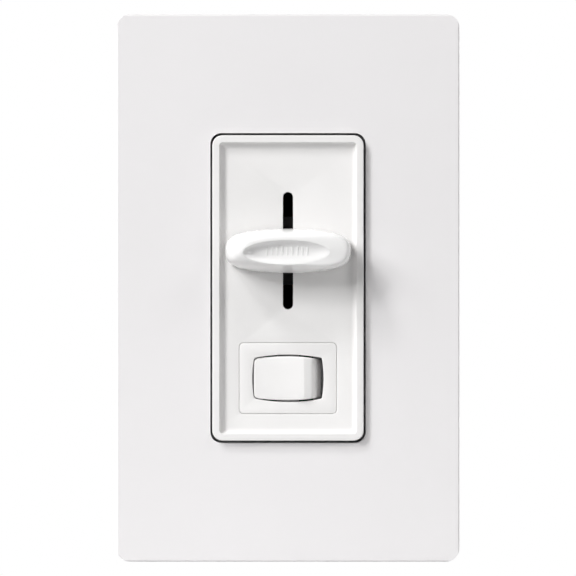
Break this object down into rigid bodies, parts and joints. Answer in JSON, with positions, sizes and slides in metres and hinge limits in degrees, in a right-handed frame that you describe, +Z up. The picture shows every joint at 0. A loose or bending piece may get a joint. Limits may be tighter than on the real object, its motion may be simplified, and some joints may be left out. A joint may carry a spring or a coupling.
{
  "type": "wall dimmer switch",
  "caption": "White wall dimmer: horizontal knob on a vertical slide, small sideways rocker below, sunken bezel, screwless plate, metal frame and rear housing with wire leads.",
  "frame": {"origin": "centre of the plate outline, on the wall surface, midway between the two wall box screws", "axes": "+X to the right seen from the front, +Y into the wall, +Z up; the front faces -Y"},
  "size_m": [0.0746, 0.0997, 0.119],
  "materials": {
    "plate_white": "fine matt texture",
    "adapter_white": "plain moulded",
    "white_screw": "white enamel",
    "satin_white": "satin moulded",
    "gloss_white": "polished moulded",
    "black_acetal": "smooth moulded",
    "spring_steel": "drawn wire",
    "frame_aluminium": "rolled sheet",
    "zinc_steel": "zinc plated",
    "dark_fibre": "pressed fibre",
    "black_housing": "moulded thermoset",
    "board_green": "solder mask",
    "case_steel": "stamped",
    "track_brown": "phenolic laminate",
    "wiper_brass": "stamped spring",
    "tinned": "tinned",
    "black_epoxy": "moulded epoxy",
    "tab_metal": "nickel plated",
    "rivet_aluminium": "headed",
    "pad_grey": "filled silicone",
    "core_yellow": "coated iron powder",
    "enamelled_copper": "enamelled wire",
    "film_red": "dipped epoxy",
    "film_orange": "moulded box",
    "diac_blue": "coated glass",
    "resistor_tan": "coated film",
    "contact_copper": "stamped copper alloy",
    "contact_silver": "silver alloy",
    "terminal_brass": "stamped",
    "wire_black": "extruded vinyl",
    "wire_green": "extruded vinyl",
    "bare_copper": "bare stranded"
  },
  "bodies": {
    "base": {"adapter_plate": "adapter_white", "adapter_screws": "white_screw", "bezel": "satin_white", "rocker_insert": "satin_white", "slide_guide": "black_acetal", "yoke": "frame_aluminium", "mounting_screws": "zinc_steel", "screw_retainers": "dark_fibre", "back_housing": "black_housing", "housing_screws": "zinc_steel", "insulating_sheet": "dark_fibre", "circuit_board": "board_green", "pot_case": "case_steel", "pot_track": "track_brown", "pot_terminals": "tinned", "triac_body": "black_epoxy", "triac_tab": "tab_metal", "triac_leads": "tinned", "triac_rivet": "rivet_aluminium", "thermal_pad": "pad_grey", "choke_core": "core_yellow", "choke_winding": "enamelled_copper", "filter_capacitor": "film_red", "filter_capacitor_leads": "tinned", "timing_capacitor": "film_orange", "timing_capacitor_leads": "tinned", "trigger_diac": "diac_blue", "diac_leads": "tinned", "resistors": "resistor_tan", "resistor_leads": "tinned", "fixed_contact": "contact_silver", "fixed_terminal": "terminal_brass", "common_terminal": "terminal_brass", "line_lead": "wire_black", "load_lead": "wire_black", "line_conductor": "bare_copper", "load_conductor": "bare_copper", "ground_terminal": "tinned", "ground_rivet": "rivet_aluminium", "ground_lead": "wire_green", "ground_conductor": "bare_copper"},
    "cover": {"front_cover": "plate_white"},
    "slider": {"slider_knob": "gloss_white", "slide_carriage": "black_acetal", "pot_lever": "black_acetal", "pot_wiper": "wiper_brass"},
    "rocker": {"rocker": "satin_white", "rocker_spring": "spring_steel", "rocker_plunger": "black_acetal"},
    "arm": {"contact_arm": "contact_copper", "moving_contact": "contact_silver"}
  },
  "joints": [
    {"name": "dim_slide", "type": "slide", "parent": "base", "child": "slider", "axis": [0, 0, 1], "range_m": [-0.01, 0.01]},
    {"name": "rocker_tilt", "type": "hinge", "parent": "base", "child": "rocker", "pos_m": [0, -0.0031, -0.01965], "axis": [0, 0, 1], "range_deg": [-16, 0]},
    {"name": "contact_tilt", "type": "hinge", "parent": "base", "child": "arm", "pos_m": [0, 0.0142, -0.01965], "axis": [0, 0, 1], "range_deg": [0, 8]},
    {"name": "cover_off", "type": "slide", "parent": "base", "child": "cover", "axis": [0, -1, 0], "range_m": [0, 0.025]}
  ],
  "couplings": [
    {"joint": "contact_tilt", "follows": "rocker_tilt", "ratio": -0.5}
  ]
}
